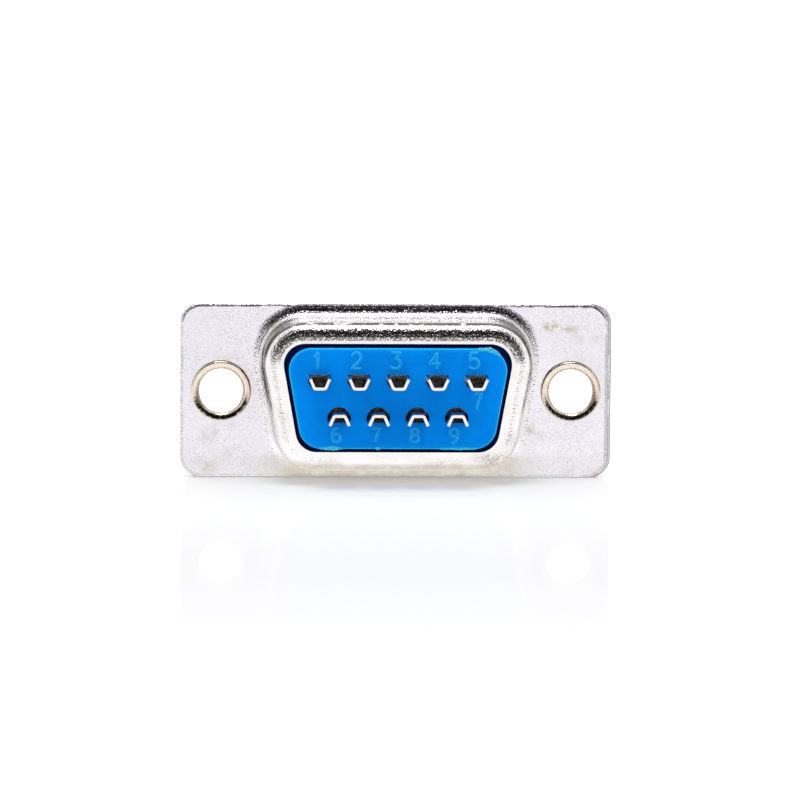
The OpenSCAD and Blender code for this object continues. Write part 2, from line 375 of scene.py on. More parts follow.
class StageSizes(bpy.types.PropertyGroup):
    elevation: angle("Elevation", "Height of the camera above the horizon", 7.5)
    turn: angle("Turn", "Turn of the camera to the left", 1.95)
    roll: angle("Roll", "Roll of the camera", 0.4)
    distance: length("Distance", "Distance of the camera", 360.0)
    width: length("View width", "Width of the view at the flange", 57.14)
    aim_x: length("Aim X", "Where the view's centre lies, to the right", 0.29)
    aim_z: length("Aim Z", "Where the view's centre lies, upwards", -0.642)
    floor: colour("Floor", "Colour of the floor", (0.68, 0.68, 0.69))
    mirror: share("Mirror", "Share of the floor's reflection close by", 0.06)
    glow: share("Glow", "Light added to the floor where it is looked at", 0.17)
    bounce: level("Bounce", "Brightness of the floor in the metal", 1.26)
    sky: level("Sky", "Brightness of the surround in the metal", 1.24)
    wall: level("Wall", "Brightness of the wall behind in the floor", 5.0)
    around: level("Surround", "Strength of the even light from all round", 0.9)
    lamp: level("Lamp", "Strength of the broad lamp overhead", 1.1)


# ---------------------------------------------------------------- finishes


def plate_depth(x, z, plate):
    """How far inside a flange's rounded outline a point lies, in mm."""
    middle = (plate["left"] + plate["right"]) / 2
    over_x = abs(x - middle) - ((plate["right"] - plate["left"]) / 2 - plate["corner"])
    over_z = abs(z) - (PLATE_Z - plate["corner"])
    out_x, out_z = over_x.most(0.0), over_z.most(0.0)
    return plate["corner"] - (out_x * out_x + out_z * out_z).root() - over_x.most(over_z).least(0.0)


def spots(x, z, places):
    """Soft round patches: each of places is x, z, reach across, reach up, strength."""
    total = 0.0
    for spot_x, spot_z, wide, tall, amount in places:
        across, up = (x - spot_x) / wide, (z - spot_z) / tall
        total = (1.0 - (across * across + up * up).root().rise(0.0, 1.0)) * amount + total
    return total


def paint_steel(paint, sizes, plate, rear):
    """Tin plating over drawn steel: speckled flats, grainy bends and streaked walls."""
    point, x, y, z = paint.place()
    nx, ny, _ = paint.facing()
    flat = abs(ny).rise(0.975, 0.998)
    wall = 1.0 - abs(ny).rise(0.04, 0.2)
    bend = (1.0 - flat) * (1.0 - wall)

    fine = paint.noise(point, 8.5, 1.0, 0.5)
    salt = paint.noise(point, 11.0, 1.0, 0.5)
    grit = paint.noise(point, 5.5, 2.0, 0.7)
    cloud = paint.noise(point, 0.3, 3.0, 0.55)
    crowd = paint.noise(point, 0.5, 2.0, 0.5).rise(0.38, 0.62)

    # The mating shell's plating is darkened as painted shade, so that from above it does not mirror the
    # lamp nearly white.
    shade = 1.0 if rear else sizes.mating_painted_shade

    def toned(*factors):
        return [c * f * shade for c, f in zip(sizes.plate, factors)]

    base = paint.mix(cloud.rise(0.35, 0.7), toned(1.0, 1.0, 1.0), toned(1.05, 1.03, 1.03))
    base = paint.mix((1.0 - grit.rise(0.36, 0.60)) * flat * 0.5, base, toned(0.80, 0.80, 0.80))
    specks = (1.0 - salt.rise(0.31, 0.38)) * flat * (crowd * 0.75 + 0.25)
    base = paint.mix(specks * sizes.speckle, base, toned(0.10, 0.10, 0.11))
    streak = paint.noise(paint.stretched(point, (0.3, 7.0, 0.3)), 1.0, 2.0, 0.6)
    base = paint.mix((1.0 - streak.rise(0.34, 0.46)) * wall * 0.5, base, toned(0.5, 0.5, 0.48))

    face = y.rise(FLANGE_FACE_Y - 0.06, FLANGE_FACE_Y - 0.02) if rear else 1.0 - y.rise(0.02, 0.06)
    broken = paint.noise(point, 0.9, 2.0, 0.6).rise(0.36, 0.52)
    cut, dirt_and_shade = plate_edge(x, z, plate, face, broken)
    base = paint.mix(cut * (0.9 - broken * 0.35), base, toned(0.36, 0.36, 0.35))
    rough = (grit - 0.5) * 0.10 + (sizes.rough - bend * 0.06)

    if rear:
        away = dee_distance(x, z, REAR_D["cx"], REAR_D["side"])
        on_flange = y.rise(FLANGE_FACE_Y - 0.05, FLANGE_FACE_Y)
        smudge = spots(x, z, SMUDGES) * (1.0 - on_flange)
        base = rear_tints(paint, sizes, (point, x, y, z), ny, away, on_flange, smudge, base)
        dirt_and_shade = rear_dirt_and_shade(paint, (point, x, y, z), (nx, ny), away, on_flange, smudge).most(dirt_and_shade)

    # Grime and painted shade are mixed in together here.
    base = paint.mix(dirt_and_shade.held(), base, sizes.dirt_and_shade)
    relief = paint.bump(fine, sizes.grain, bend * 0.92 + 0.08)
    paint.surface(base_color=base, metallic=1.0, roughness=rough.held(), normal=relief)


def plate_edge(x, z, plate, face, broken):
    """The bare cut edge of a flange, and painted shade in the fine lines that run along it."""
    inside = plate_depth(x, z, plate)
    right = x.rise(12.0, 14.0) * 0.2
    cut = 1.0 - inside.rise(0.01, 0.04)
    # Painted shade: a dark line at the very edge, stronger at the right and along the bottom, and a fine
    # broken line just inside it, stronger at the right and along the top.
    rim = (1.0 - inside.rise(0.05, 0.10)) * (right + 0.4 + (-z).rise(5.8, 6.2) * 0.35)
    painted_edge_line = inside.near(0.18, 0.09) * broken * (right + 0.25 + z.rise(4.5, 5.5) * 0.6)
    return cut, rim.most(painted_edge_line) * face * (1.0 - cut)


# Patches on the rear shell: x, z, reach across, reach up, strength.
STAINS = (
    (11.0, 4.75, 0.8, 0.5, 1.8), (11.9, 4.5, 1.6, 0.55, 0.8), (13.6, 4.0, 1.8, 1.0, 0.35),
    (9.55, -2.7, 0.6, 0.8, 0.7), (10.3, -3.2, 1.2, 0.7, 0.25), (-12.3, -2.6, 1.1, 0.8, 0.45),
    (-13.2, -3.2, 1.4, 1.0, 0.4), (-13.7, -5.5, 1.6, 0.8, 0.55), (-12.0, -4.6, 2.0, 0.9, 0.2),
    (13.5, -5.8, 2.5, 0.7, 0.35), (-9.6, 1.5, 0.5, 1.6, 0.2),
)
SMUDGES = (
    (6.9, -4.4, 2.4, 0.8, 1.0), (3.2, -4.6, 2.5, 0.5, 0.5),
    (-5.5, -4.6, 2.5, 0.5, 0.4), (8.0, -3.2, 0.8, 1.4, 0.5),
)
SPECKS = (
    (13.3, -3.6, 2.2, 2.0, 1.0), (13.0, 4.6, 3.5, 1.4, 0.8), (-10.9, 2.7, 1.5, 1.5, 1.0),
    (-12.0, 4.2, 3.0, 2.0, 0.5), (9.8, -5.3, 2.5, 1.2, 0.7), (-13.4, -5.2, 2.2, 1.2, 0.7),
)


def rear_tints(paint, sizes, place, ny, away, on_flange, smudge, base):
    """The rear shell's colours: painted highlight on the land and the lower dish, dulled smears and painted
    shade on the dish, tinted eyelets, stains and the warm lower rim.
    """
    point, x, y, z = place
    grit = paint.noise(point, 3.6, 3.0, 0.65)
    blotch = paint.noise(point, 1.3, 3.0, 0.6)
    dish = 1.0 - on_flange

    # Painted highlight: the land and the lower part of the dish are lightened, standing in for the bright
    # floor that they mirror.
    painted_lower_highlight = (-z).rise(3.2, 4.6) * dish
    painted_highlight = (1.0 - y.rise(LAND_Y + 0.02, LAND_Y + 0.45)).most(painted_lower_highlight * 0.8)
    base = paint.mix(painted_highlight, base, sizes.bright)
    # Dulled smears on the dish, random, and heavier towards its two sides as painted shade.
    smear = paint.noise(paint.stretched(point, (0.5, 1.5, 0.5)), 1.0, 3.0, 0.6)
    base = paint.mix(smear.rise(0.42, 0.62) * dish * (abs(x).rise(7.0, 9.0) * 0.4 + 0.25), base, sizes.dull_and_shade)
    # Partly painted shade: the dish's walls and bends are dulled in streaks, so they come out darker than
    # its flat faces.
    streak = paint.noise(paint.stretched(point, (0.35, 3.0, 3.0)), 1.0, 3.0, 0.6)
    wall_tint_and_shade = (1.0 - abs(ny).rise(0.6, 0.85)) * dish * (streak.rise(0.36, 0.6) * 0.3 + 0.1)
    base = paint.mix(wall_tint_and_shade, base, sizes.dull_and_shade)

    off = abs(x) - HOLE_X
    ring = (off * off + z * z).root()
    upper_right = ((x - x.sign() * HOLE_X) * 0.75 + z * 0.65).rise(0.4, 2.2)
    halo = (1.0 - ring.rise(2.1, 3.3)) * upper_right * grit.rise(0.40, 0.58) * on_flange
    base = paint.mix(halo * (0.42 - x.rise(0.0, 1.0) * 0.27), base, sizes.rust)

    base = paint.mix(spots(x, z, STAINS) * blotch.rise(0.36, 0.6) * on_flange, base, sizes.stain)
    past_land = away.rise(LAND_R + 0.2, LAND_R + 0.55)
    sill = (-z).rise(4.3, 5.0) * past_land * (1.0 - abs(x).rise(6.0, 11.5) * 0.85)
    base = paint.mix(sill * (blotch.rise(0.3, 0.6) * 0.3 + 0.7), base, sizes.warm)
    return paint.mix(smudge * (blotch.rise(0.3, 0.55) * 0.5 + 0.2), base, sizes.warm)


def rear_dirt_and_shade(paint, place, normal, away, on_flange, smudge):
    """The rear shell's grime and painted shade: specks on the flange, creases round the dish and grit in
    its bends, partly painted shade.

    The line round the brow is painted shade, the draw line runs round the root, and the cheeks are dark
    streaks of painted shade at the dish's two sides.
    """
    point, x, y, z = place
    nx, ny = normal
    grit = paint.noise(point, 3.6, 3.0, 0.65)
    salt = paint.noise(point, 9.5, 2.0, 0.8)
    high = z.rise(2.2, 3.2)

    specks = (1.0 - grit.rise(0.24, 0.33)) * spots(x, z, SPECKS).held() * on_flange
    along = paint.noise(point, 1.2, 2.0, 0.5).rise(0.30, 0.44)
    flank = 1.0 - abs(ny).rise(0.6, 0.75)
    # Painted shade: a dark line round the top of the dish where its wall turns into the brow.
    painted_crease_shade = (1.0 - abs(y - (BROW_Y - 0.42)).rise(0.10, 0.24)) * along * high * flank
    draw = (1.0 - abs(away - (WALL_R + 0.32)).rise(0.02, 0.08)) * high * (grit.rise(0.3, 0.5) * 0.4 + 0.3)

    # Painted shade: dark streaks down the dish's two sides.
    side_shade_height = z.rise(-1.5, -0.4) * (1.0 - z.rise(2.9, 3.6))
    painted_side_shade = abs(nx).rise(0.3, 0.5) * (1.0 - abs(away - (WALL_R - 0.02)).rise(0.07, 0.16)) * side_shade_height
    # Grit on the top of the brow and in the root: partly real grit, partly painted shade on these top
    # bends.
    brow = away.rise(LAND_R - 0.31, LAND_R - 0.17) * (1.0 - away.rise(LAND_R + 0.25, LAND_R + 0.65)) * high
    to_flange = 1.0 - away.rise(ROOT_R + 0.07, ROOT_R + 0.17)
    root = away.rise(WALL_R + 0.25, WALL_R + 0.45) * to_flange * z.rise(4.0, 5.0)
    grit_and_shade = (brow * (1.0 - salt.rise(0.50, 0.58))).most(root * (1.0 - salt.rise(0.50, 0.57)))
    grime = (1.0 - salt.rise(0.40, 0.47)) * smudge
    lines = (painted_crease_shade * 0.9).most(draw).most(painted_side_shade * grit.rise(0.34, 0.5) * 0.85)
    return lines.most(grime * 0.8).most(specks * 0.7).most(grit_and_shade * 0.85)


def paint_plastic(paint, sizes, tone, dee, radius, face_y, outward):
    """Moulded plastic with a painted highlight along its edge and a soft painted glow inside it, soft flow
    marks, and painted shade in the sunken places.
    """
    point, x, y, z = paint.place()
    flow = paint.noise(point, 0.38, 3.0, 0.5, 0.6)
    matte = paint.noise(point, 16.0, 3.0, 0.6)
    smear = paint.noise(paint.stretched(point, (0.5, 1.0, 2.4)), 0.6, 2.0, 0.5)

    base = paint.mix(flow.rise(0.36, 0.68), [c * 0.95 for c in tone], [min(1.0, c * 1.08) for c in tone])
    base = paint.mix(smear.rise(0.5, 0.75) * 0.25, base, [min(1.0, c * 1.15) for c in tone])

    away = dee_distance(x, z, dee["cx"], dee["side"])
    front = (y * outward).rise(face_y * outward - 0.16, face_y * outward - 0.04)
    # Painted highlight: a light line along the rounded edge of the face, broken in places, with a soft
    # painted glow just inside it.
    breaks = paint.noise(point, 1.9, 3.0, 0.6).rise(0.34, 0.46)
    halo = away.rise(radius - 0.36, radius - 0.1) * front * 0.14
    edge = away.rise(radius - 0.11, radius - 0.05) * front * (breaks * 0.6 + 0.4)
    base = paint.mix(edge.most(halo), base, sizes.edge)
    # Painted shade down in the gap and the holes, below the face.
    painted_recess_shade = 1.0 - (y * outward).rise(face_y * outward - 0.7, face_y * outward - 0.10)
    base = paint.mix(painted_recess_shade, base, sizes.painted_recess_shade)

    rough = (matte - 0.5) * 0.16 + sizes.rough
    relief = paint.bump(matte, 0.006)
    relief = paint.bump(flow, 0.05, 0.5, relief)
    paint.surface(base_color=base, roughness=rough.held(), normal=relief, ior=1.5, specular_ior_level=0.02)


class ShellsOperator(bpy.types.Operator):
    """Gives both drawn shells their tin plating, with grain, draw lines, grime, stains, painted shade and
    painted highlights
    """

    bl_idname = "connector.shells"
    bl_label = "Finish the shells"

    def execute(self, context):
        sizes = context.scene.shell_finish
        paint = finish("rear_shell_tin", "rear_shell")
        paint_steel(paint, sizes, REAR_PLATE, True)
        paint = finish("front_shell_tin", "front_shell")
        paint_steel(paint, sizes, FRONT_PLATE, False)
        return {"FINISHED"}


class InsulatorsOperator(bpy.types.Operator):
    """Gives the two insulators their moulded blue plastic"""

    bl_idname = "connector.insulators"
    bl_label = "Finish the insulators"

    def execute(self, context):
        sizes = context.scene.insulator_finish
        paint = finish("rear_insulator_plastic", "rear_insulator")
        paint_plastic(paint, sizes, sizes.face, BOSS_D, BOSS_R, BOSS_Y, -1.0)
        paint = finish("front_insulator_plastic", "front_insulator")
        paint_plastic(paint, sizes, sizes.front, FRONT_D, FRONT_R, MATE_Y, 1.0)
        return {"FINISHED"}


class ContactsOperator(bpy.types.Operator):
    """Gives the nine contacts their tinned strip, dark down in the solder channels, with a painted blue
    reflection on the strip down in the hole
    """

    bl_idname = "connector.contacts"
    bl_label = "Finish the contacts"

    def execute(self, context):
        sizes = context.scene.contact_finish
        paint = finish("contact_tin", *(f"contact_{n}" for n in range(1, 10)))
        point, x, y, z = paint.place()
        nx, ny, nz = paint.facing()
        across = (x + (z < 0.0) * (PITCH / 2) + PITCH * 4.5).wrapped(PITCH) - PITCH / 2
        up = z - z.sign() * (ROW_GAP / 2)
        inward = (-(nx * across + nz * up)).rise(0.0, 0.1)
        end = (-ny).rise(0.6, 0.9)
        mottle = paint.noise(point, 2.4, 3.0, 0.6)
        drops = paint.noise(point, 3.4, 2.0, 0.5).rise(0.60, 0.68)
        brushed = paint.noise(paint.stretched(point, (14.0, 1.2, 14.0)), 1.0, 3.0, 0.6)
        base = paint.mix(mottle.rise(0.5, 0.72) * 0.3, sizes.tin, sizes.copper)
        # Every face but the cup ends is tinted half way to copper, so the ends come out lighter.
        base = paint.mix((1.0 - end) * 0.5, base, sizes.copper)
        inner = inward * (1.0 - end) * (1.0 - y.rise(-1.0, 0.0))
        # Painted reflection: the strip's outer faces down in the hole are tinted blue, standing in for the
        # blue insulator they mirror.
        in_hole = y.rise(CUP_END_Y + 0.5, BOSS_Y + 0.3) * (1.0 - y.rise(-3.0, -2.5))
        back = (1.0 - inward) * (1.0 - end) * in_hole
        base = paint.mix(back * 0.7, base, sizes.blue)
        base = paint.mix(inner * (1.0 - drops * 0.6), base, sizes.shade)
        rough = (brushed - 0.5) * 0.2 + sizes.rough
        relief = paint.bump(brushed, 0.008)
        paint.surface(base_color=base, metallic=1.0, roughness=rough.held(), normal=relief)
        return {"FINISHED"}


class EyeletsOperator(bpy.types.Operator):
    """Gives the two eyelets their warm plating, with painted shade along the ring's edges and in a crescent
    low on it
    """

    bl_idname = "connector.eyelets"
    bl_label = "Finish the eyelets"

    def execute(self, context):
        sizes = context.scene.eyelet_finish
        paint = finish("eyelet_plating", "eyelet_left", "eyelet_right")
        point, x, _, z = paint.place()
        off = x - x.sign() * HOLE_X
        radius = (off * off + z * z).root()
        mottle = paint.noise(point, 2.2, 3.0, 0.6)
        scratch = paint.noise(point, 7.0, 2.0, 0.65)
        base = paint.mix(mottle.rise(0.4, 0.7) * 0.5, sizes.ring, [min(1.0, c * 1.15) for c in sizes.ring])
        # The outer part of each ring's right side is tinted pink.
        right = (off / radius.most(0.1)).rise(0.3, 0.9)
        base = paint.mix(right * radius.rise(1.75, 2.0) * 0.6, base, sizes.pink)
        # Painted shade: a dark line at the top of the inner edge, where the ring's inner slope faces down,
        # and a dark outer edge where the ring meets the flange; the pits are real.
        inner = radius.near(1.60, 0.09) * z.rise(-1.4, -0.6) * 0.55
        outer = radius.rise(2.12, 2.16) * (mottle.rise(0.3, 0.5) * 0.45 + 0.55)
        pits = (1.0 - scratch.rise(0.30, 0.40)) * 0.5
        # Painted shade: a dark crescent low on the ring, where it faces down, broken by flecks.
        low = (1.0 - abs(radius - 1.92).rise(0.10, 0.19)) * (-z).rise(0.3, 1.0) * mottle.rise(0.30, 0.42)
        base = paint.mix(inner.most(outer).most(pits), base, sizes.tarnish_and_shade)
        flecks = paint.noise(point, 5.0, 2.0, 0.6).rise(0.52, 0.6)
        base = paint.mix(low * (0.95 - flecks * 0.6), base, [c * 0.2 for c in sizes.tarnish_and_shade])
        rough = (scratch - 0.5) * 0.2 + sizes.rough
        relief = paint.bump(scratch, 0.014)
        paint.surface(base_color=base, metallic=1.0, roughness=rough.held(), normal=relief)
        return {"FINISHED"}


# ---------------------------------------------------------------- moulded numbers and flash


def arc(cx, cy, rx, ry, start, end, steps=14):
    """Points on an ellipse from one angle to another, in degrees."""
    turns = [math.radians(start + (end - start) * i / steps) for i in range(steps + 1)]
    return [(cx + rx * math.cos(t), cy + ry * math.sin(t)) for t in turns]


# Each number's strokes in a box 1 high and centred across.
STROKES = {
    1: [[(-0.17, 0.70), (0.02, 0.96), (0.05, 1.0), (0.05, 0.5), (0.05, 0.0)]],
    2: [arc(0.0, 0.70, 0.29, 0.30, 160, -28) + [(0.0, 0.28), (-0.32, 0.0), (0.33, 0.0)]],
    3: [[(-0.28, 1.0), (0.30, 1.0), (0.02, 0.62)] + arc(-0.02, 0.31, 0.34, 0.31, 72, -160)],
    4: [[(0.12, 0.0), (0.12, 0.97), (-0.34, 0.30), (0.36, 0.30)]],
    5: [[(0.26, 1.0), (-0.22, 1.0), (-0.26, 0.55)] + arc(-0.02, 0.32, 0.33, 0.32, 118, -155)],
    6: [arc(0.06, 0.48, 0.34, 0.52, 70, 180) + arc(0.02, 0.30, 0.30, 0.30, 180, 510)],
    7: [[(-0.32, 1.0), (0.34, 1.0), (0.10, 0.5), (-0.04, 0.0)]],
    8: [arc(0.0, 0.76, 0.25, 0.24, 0, 360, 24), arc(0.0, 0.27, 0.31, 0.27, 0, 360, 24)],
    9: [arc(0.0, 0.70, 0.29, 0.30, 0, 360, 24), arc(-0.07, 0.52, 0.36, 0.52, 12, -110)],
}


UPPER_Z, LOWER_Z = 2.71, -2.57  # middles of the two rows of numbers
BESIDE = 0.18  # how far the numbers stand to the left of their contacts


def pin_across(number):
    """Where a contact's axis is, in mm to the right of the middle."""
    return (number - (3 if number < 6 else 7.5)) * PITCH


def line_mesh(name, lines, y):
    """A mesh of edges only, one chain for each line of (x, z) points in mm, lying at y."""
    points, edges = [], []
    for line in lines:
        first = len(points)
        points += [(px * MM, y * MM, pz * MM) for px, pz in line]
        edges += [(first + i, first + i + 1) for i in range(len(line) - 1)]
    mesh = bpy.data.meshes.new(name)
    mesh.from_pydata(points, edges, [])
    return mesh


def link(mesh):
    made = bpy.data.objects.new(mesh.name, mesh)
    bpy.context.scene.collection.objects.link(made)
    return made


class Tree:
    """A geometry node tree built step by step, with named inputs."""

    def __init__(self, name, inputs):
        self.group = bpy.data.node_groups.new(name, "GeometryNodeTree")
        face = self.group.interface
        face.new_socket("Geometry", in_out="INPUT", socket_type="NodeSocketGeometry")
        for title, kind in inputs.items():
            face.new_socket(title, in_out="INPUT", socket_type=kind)
        face.new_socket("Geometry", in_out="OUTPUT", socket_type="NodeSocketGeometry")
        self.start = self.group.nodes.new("NodeGroupInput")
        self.end = self.group.nodes.new("NodeGroupOutput")

    def given(self, title):
        return self.start.outputs[title]

    def add(self, kind, inputs=None, settings=None, out=0):
        node = self.group.nodes.new(kind)
        for name, value in (settings or {}).items():
            setattr(node, name, value)
        for key, value in (inputs or {}).items():
            if isinstance(value, bpy.types.NodeSocket):
                self.group.links.new(value, node.inputs[key])
            else:
                node.inputs[key].default_value = value
        return node.outputs[out]

    def math(self, operation, *values):
        return self.add("ShaderNodeMath", dict(enumerate(values)), {"operation": operation})

    def circle(self, sides, radius):
        inputs = {"Resolution": sides, "Radius": radius}
        return self.add("GeometryNodeCurvePrimitiveCircle", inputs, {"mode": "RADIUS"})

    def noise(self, place, seed, scale, detail):
        inputs = {"Vector": place, "W": seed, "Scale": scale, "Detail": detail}
        return self.add("ShaderNodeTexNoise", inputs, {"noise_dimensions": "4D"})

    def close(self, geometry, material):
        """Ends the tree in real geometry with its material."""
        real = self.add("GeometryNodeRealizeInstances", {"Geometry": geometry})
        done = self.add("GeometryNodeSetMaterial", {"Geometry": real, "Material": material})
        self.group.links.new(done, self.end.inputs[0])

    def grow(self, name, mesh, values):
        """Runs the tree on a mesh and returns the result as a plain piece."""
        source = link(mesh)
        modifier = source.modifiers.new("Grow", "NODES")
        modifier.node_group = self.group
        for item in self.group.interface.items_tree:
            if item.in_out == "INPUT" and item.name in values:
                modifier[item.identifier] = values[item.name]
        evaluated = source.evaluated_get(bpy.context.evaluated_depsgraph_get())
        made = bpy.data.meshes.new_from_object(evaluated)
        made.name = name
        source.modifiers.remove(modifier)
        bpy.data.objects.remove(source)
        if not made.polygons:
            raise RuntimeError(f"{name} came out empty")
        return link(made)


def stroke_tree(name):
    """Sweeps a round section along each line, closes its ends and flattens it."""
    sizes = dict.fromkeys(("Width", "Relief", "Face", "Step"), "NodeSocketFloat")
    tree = Tree(name, sizes | {"Sides": "NodeSocketInt"})
    curve = tree.add("GeometryNodeMeshToCurve", {"Mesh": tree.given("Geometry")})
    spacing = {"Curve": curve, "Length": tree.given("Step")}
    even = tree.add("GeometryNodeResampleCurve", spacing, {"mode": "LENGTH"})
    radius = tree.math("MULTIPLY", tree.given("Width"), 0.5)
    section = tree.circle(tree.given("Sides"), radius)
    body = tree.add("GeometryNodeCurveToMesh", {"Curve": even, "Profile Curve": section, "Fill Caps": True})
    place = tree.add("GeometryNodeInputPosition")
    parts = tree.add("ShaderNodeSeparateXYZ", {0: place}).node.outputs
    lift = tree.math("SUBTRACT", parts[1], tree.given("Face"))
    share = tree.math("DIVIDE", tree.given("Relief"), radius)
    low = tree.math("MULTIPLY_ADD", lift, share, tree.given("Face"))
    where = tree.add("ShaderNodeCombineXYZ", {0: parts[0], 1: low, 2: parts[2]})
    flat = tree.add("GeometryNodeSetPosition", {"Geometry": body, "Position": where})
    return tree, flat


class NumbersOperator(bpy.types.Operator):
    """Raises the contact numbers and the mould's own number on the face of the boss"""

    bl_idname = "connector.numbers"
    bl_label = "Raise the numbers"

    def execute(self, context):
        sizes = context.scene.number_sizes
        upper, lower = sizes.upper_height / MM, sizes.lower_height / MM
        lines = []
        for number in range(1, 10):
            tall, middle = (upper, UPPER_Z) if number < 6 else (lower, LOWER_Z)
            lines += self.drawn(number, pin_across(number) - BESIDE, middle, tall, 0.95, 0.0)
        lines += self.drawn(7, 5.6, -0.17, 1.15, 0.62, math.radians(6))

        material, paint = new_material("number_plastic")
        point = paint.place()[0]
        speck = paint.noise(point, 3.0, 3.0, 0.6)
        ny = paint.facing()[1]
        # Painted highlight: the strokes' steep sides are lighter than their tops.
        side = 1.0 - (-ny).rise(0.86, 0.985)
        base = paint.mix(side * (speck.rise(0.35, 0.6) * 0.5 + 0.5), sizes.top, sizes.painted_flank_highlight)
        rough = 0.36 + (speck - 0.5) * 0.2
        relief = paint.bump(speck, 0.01)
        paint.surface(base_color=base, roughness=rough.held(), normal=relief, specular_ior_level=0.02)

        tree, shape = stroke_tree("Raised strokes")
        tree.close(tree.add("GeometryNodeSetShadeSmooth", {"Geometry": shape}), material)
        values = {"Width": sizes.stroke, "Relief": sizes.relief, "Sides": sizes.sides}
        values.update({"Face": BOSS_Y * MM, "Step": 0.05 * MM})
        piece = tree.grow("pin_numbers", line_mesh("number_lines", lines, BOSS_Y), values)
        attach(piece, "root")
        return {"FINISHED"}

    @staticmethod
    def drawn(number, across, middle, tall, wide, lean):
        """A number's strokes at its place, seen from the solder side."""
        lines = []
        for stroke in STROKES[number]:
            up = [v - 0.5 for _, v in stroke]
            right = [u + math.tan(lean) * rise for (u, _), rise in zip(stroke, up)]
            lines.append([(across + tall * wide * u, middle + tall * v) for u, v in zip(right, up)])
        return lines


def dee_outline(cx, side, radius, count):
    """Points round a D outline at a distance from its corner centres."""
    cz = side * math.cos(SLOPE) / 2
    low = cx - side * math.sin(SLOPE)
    tilt = math.degrees(SLOPE)
    points = []
    corners = (
        (cx, cz, 90, -tilt),
        (low, -cz, -tilt, -90),
        (-low, -cz, -90, -180 + tilt),
        (-cx, cz, -180 + tilt, -270),
    )
    for ox, oz, start, end in corners:
        points += arc(ox, oz, radius, radius, start, end, 12)
    points.append(points[0])
    even = []
    for (ax, az), (bx, bz) in zip(points, points[1:]):
        pieces = max(1, round(math.hypot(bx - ax, bz - az) / count))
        even += [(ax + (bx - ax) * i / pieces, az + (bz - az) * i / pieces) for i in range(pieces)]
    even.append(points[0])
    return even


class FlashOperator(bpy.types.Operator):
    """Leaves thin flash, its bead partly coloured as a painted highlight, and a torn burr along the edge of
    the boss
    """

    bl_idname = "connector.flash"
    bl_label = "Leave the flash"

    def execute(self, context):
        sizes = context.scene.flash_sizes
        material, paint = new_material("flash_plastic")
        point = paint.place()[0]
        thin = paint.noise(point, 2.2, 3.0, 0.6)
        torn = paint.add("ShaderNodeAttribute", {"attribute_name": "torn"}, out="Fac")
        shreds = paint.noise(paint.stretched(point, (1.0, 1.0, 3.0)), 2.4, 3.0, 0.65)
        # The bead's light cyan is partly a painted highlight along the boss's edge; the torn places are
        # darker, with green shreds.
        base = paint.mix(torn * 0.7, sizes.tint, [c * 0.75 for c in sizes.tint])
        base = paint.mix(shreds.rise(0.47, 0.56) * torn, base, sizes.green)
        rough = 0.3 + (thin - 0.5) * 0.2
        relief = paint.bump(thin, 0.03)
        paint.surface(base_color=base, roughness=rough.held(), normal=relief, specular_ior_level=0.2)

        outline = dee_outline(BOSS_D["cx"], BOSS_D["side"], BOSS_R - 0.05, 0.1)
        mesh = line_mesh("boss_edge", [outline], BOSS_Y + 0.035)
        torn = mesh.attributes.new("torn", "FLOAT", "POINT")
        torn.data.foreach_set("value", [torn_width(px, pz) for px, pz in outline])
        tree = self.edge_tree(material)
        values = {"Bead": sizes.bead, "Burr": sizes.burr, "Seed": sizes.seed, "Face": (BOSS_Y - 0.02) * MM}
        piece = tree.grow("boss_flash", mesh, values)
        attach(piece, "root")
        return {"FINISHED"}

    @staticmethod
    def edge_tree(material):
        """A bead whose width wanders, with wide torn places."""
        tree = Tree("Moulded edge", dict.fromkeys(("Bead", "Burr", "Seed", "Face"), "NodeSocketFloat"))
        torn = tree.add("GeometryNodeInputNamedAttribute", {"Name": "torn"}, {"data_type": "FLOAT"})
        curve = tree.add("GeometryNodeMeshToCurve", {"Mesh": tree.given("Geometry")})
        place = tree.add("GeometryNodeInputPosition")
        wander = tree.noise(place, tree.given("Seed"), 1600.0, 2.0)
        ragged = tree.noise(place, tree.given("Seed"), 5200.0, 3.0)
        bead = tree.math("MULTIPLY", tree.given("Bead"), tree.math("MULTIPLY_ADD", wander, 2.2, -0.35))
        burr = tree.math("MULTIPLY", tree.given("Burr"), tree.math("MULTIPLY", torn, ragged))
        wide = tree.math("MAXIMUM", tree.math("ADD", bead, burr), 0.015 * MM)
        sized = tree.add("GeometryNodeSetCurveRadius", {"Curve": curve, "Radius": wide})
        section = {"Profile Curve": tree.circle(10, 0.5), "Scale": wide}
        body = tree.add("GeometryNodeCurveToMesh", {"Curve": sized, "Fill Caps": True} | section)
        parts = tree.add("ShaderNodeSeparateXYZ", {0: place}).node.outputs
        held = tree.math("MAXIMUM", parts[1], tree.given("Face"))
        where = tree.add("ShaderNodeCombineXYZ", {0: parts[0], 1: held, 2: parts[2]})
        shape = tree.add("GeometryNodeSetPosition", {"Geometry": body, "Position": where})
        tree.close(tree.add("GeometryNodeSetShadeSmooth", {"Geometry": shape}), material)
        return tree


# Torn stretches of the boss's edge: left end, right end, 1 for the top or -1 for the bottom, strength.
TORN = ((5.5, 7.3, 1, 1.0), (-5.6, -3.8, -1, 0.75), (2.9, 5.6, -1, 0.45), (-1.6, -1.2, -1, 0.7))
EDGE_Z = 3.1


def torn_width(x, z):
    """How torn the boss's edge is at a place, from 0 to 1."""
    most = 0.0
    for left, right, side, amount in TORN:
        if z * side > EDGE_Z and left < x < right:
            along = (x - left) / (right - left)
            most = max(most, amount * math.sin(math.pi * along) ** 0.5)
    return most


